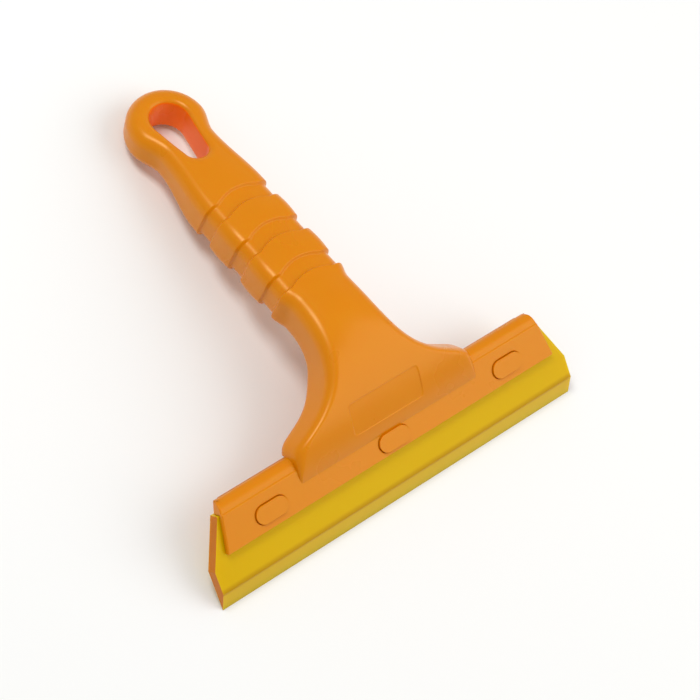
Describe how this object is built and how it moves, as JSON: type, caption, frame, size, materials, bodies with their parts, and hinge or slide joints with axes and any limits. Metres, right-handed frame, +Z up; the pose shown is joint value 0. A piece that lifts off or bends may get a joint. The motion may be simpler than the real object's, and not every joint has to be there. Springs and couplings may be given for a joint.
{
  "type": "window squeegee",
  "caption": "One-hand squeegee with a ringed grip, a hanging eye, a bent neck, a broad flared jaw, a beveled translucent blade and a rear clamp bar on lock studs.",
  "frame": {"origin": "centre of the tool's footprint, on the surface it lies on face up", "axes": "+X along the blade, +Y from the wiping edge towards the hanging eye, +Z up, out of the front of the tool"},
  "size_m": [0.15, 0.156, 0.0365],
  "materials": {
    "orange_moulding": "satin moulded plastic",
    "amber_polyurethane": "translucent cast polyurethane, glossy"
  },
  "bodies": {
    "handle": {"handle_body": "orange_moulding", "handle_back_cover": "orange_moulding", "squeegee_blade": "amber_polyurethane"},
    "clamp": {"rear_clamp_bar": "orange_moulding"}
  },
  "joints": [
    {"name": "clamp_release", "type": "slide", "parent": "handle", "child": "clamp", "axis": [0, 0.5173, -0.8558], "range_m": [0, 0.0075]}
  ]
}
